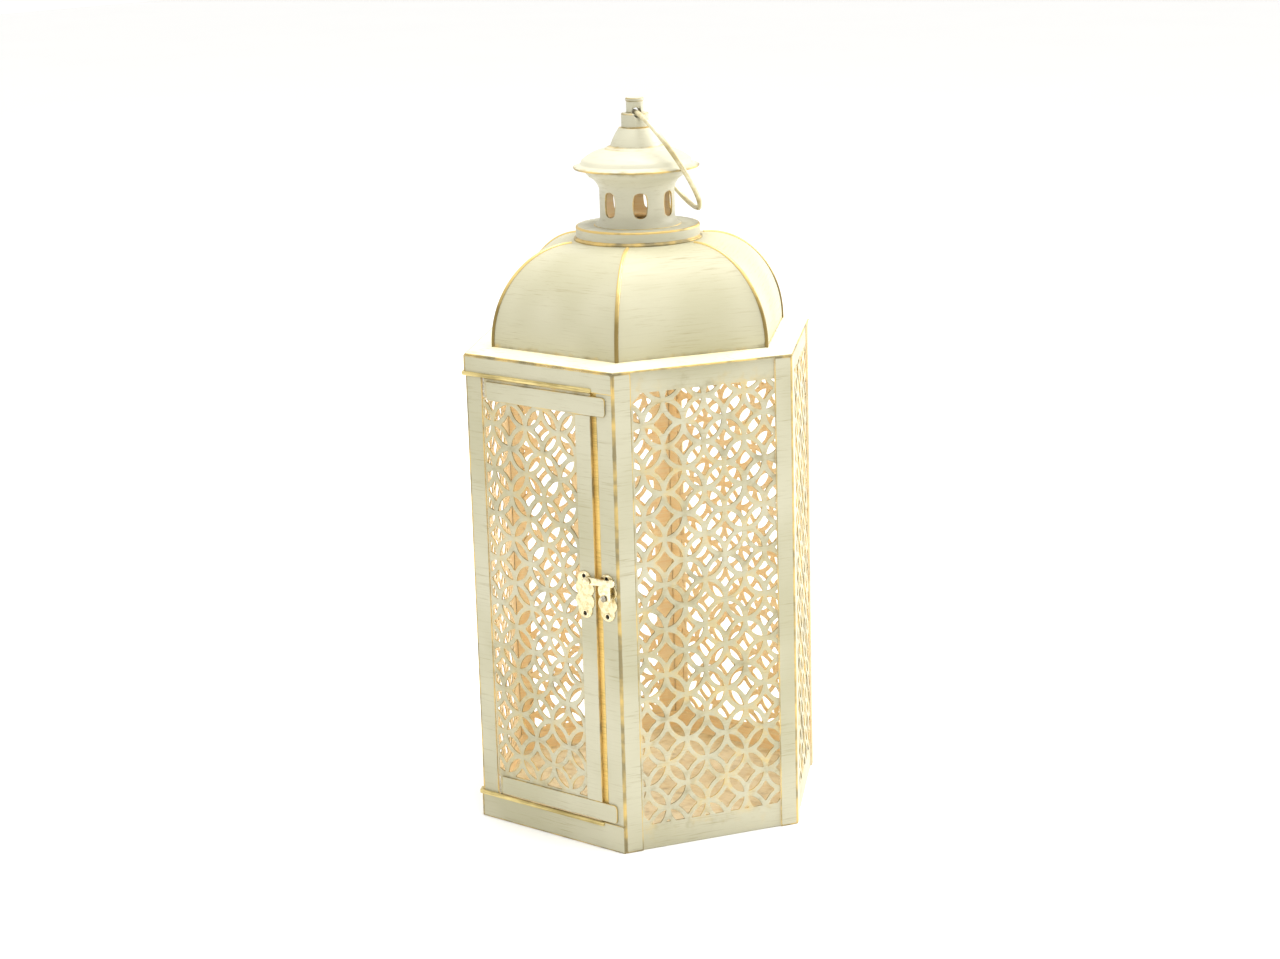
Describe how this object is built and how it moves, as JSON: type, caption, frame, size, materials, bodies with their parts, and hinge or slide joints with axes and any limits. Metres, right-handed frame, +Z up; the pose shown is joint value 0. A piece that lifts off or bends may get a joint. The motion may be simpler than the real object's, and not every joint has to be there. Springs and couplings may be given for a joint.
{
  "type": "candle lantern",
  "caption": "Hexagonal pierced sheet-metal candle lantern with a hinged latched door, a domed roof, a slotted chimney and a swinging ring handle.",
  "frame": {"origin": "middle of the hexagonal underside, on the surface that the lantern stands on", "axes": "+Z up; the door's face looks along -Y, its hinges on the -X side; corners of the hexagon lie on the X axis"},
  "size_m": [0.2006, 0.1784, 0.387],
  "materials": {
    "antique_cream": "antiqued cream paint, brushed level streaks, gold rubbed on edges",
    "pierced_cream": "antiqued cream paint outside, warm gold paint inside",
    "rubbed_gold": "rubbed antique gold paint",
    "latch_brass": "bright stamped brass",
    "plain_steel": "plain wire and sheet",
    "ring_gold_cream": "cream paint worn to gold on round wire"
  },
  "bodies": {
    "frame": {"floor_pan": "antique_cream", "corner_post_1": "antique_cream", "corner_post_2": "antique_cream", "corner_post_3": "antique_cream", "corner_post_4": "antique_cream", "corner_post_5": "antique_cream", "corner_post_6": "antique_cream", "side_panel_1": "pierced_cream", "side_panel_2": "pierced_cream", "side_panel_3": "pierced_cream", "side_panel_4": "pierced_cream", "side_panel_5": "pierced_cream", "door_header": "antique_cream", "door_sill": "antique_cream", "jamb_strip": "rubbed_gold", "upper_hinge_bracket": "plain_steel", "lower_hinge_bracket": "plain_steel", "upper_hinge_pin": "plain_steel", "lower_hinge_pin": "plain_steel", "post_latch_plate": "latch_brass", "post_plate_eyelets": "latch_brass", "keeper_peg": "latch_brass", "roof_plate": "antique_cream", "dome_petal_1": "antique_cream", "dome_petal_2": "antique_cream", "dome_petal_3": "antique_cream", "dome_petal_4": "antique_cream", "dome_petal_5": "antique_cream", "dome_petal_6": "antique_cream", "dome_seam_1": "rubbed_gold", "dome_seam_2": "rubbed_gold", "dome_seam_3": "rubbed_gold", "dome_seam_4": "rubbed_gold", "dome_seam_5": "rubbed_gold", "dome_seam_6": "rubbed_gold", "chimney_collar": "antique_cream", "chimney": "antique_cream", "cap": "antique_cream", "hanger_knob": "antique_cream", "knob_nut": "plain_steel"},
    "door": {"door_panel": "pierced_cream", "door_top_rail": "antique_cream", "door_bottom_rail": "antique_cream", "door_stile": "antique_cream", "door_upper_knuckle": "plain_steel", "door_lower_knuckle": "plain_steel", "door_latch_plate": "latch_brass", "door_plate_eyelets": "latch_brass", "latch_pivot": "latch_brass"},
    "latch": {"latch_hook": "latch_brass"},
    "ring": {"ring_handle": "ring_gold_cream"}
  },
  "joints": [
    {"name": "door_swing", "type": "hinge", "parent": "frame", "child": "door", "pos_m": [-0.0372, -0.0859, 0.131], "axis": [0, 0, -1], "range_deg": [0, 105]},
    {"name": "latch_swing", "type": "hinge", "parent": "door", "child": "latch", "pos_m": [0.0318, -0.0896, 0.1476], "axis": [0, -1, 0], "range_deg": [0, 100]},
    {"name": "ring_swing", "type": "hinge", "parent": "frame", "child": "ring", "pos_m": [0, 0, 0.3794], "axis": [0.8039, -0.5948, 0], "range_deg": [0, 296.8]}
  ]
}
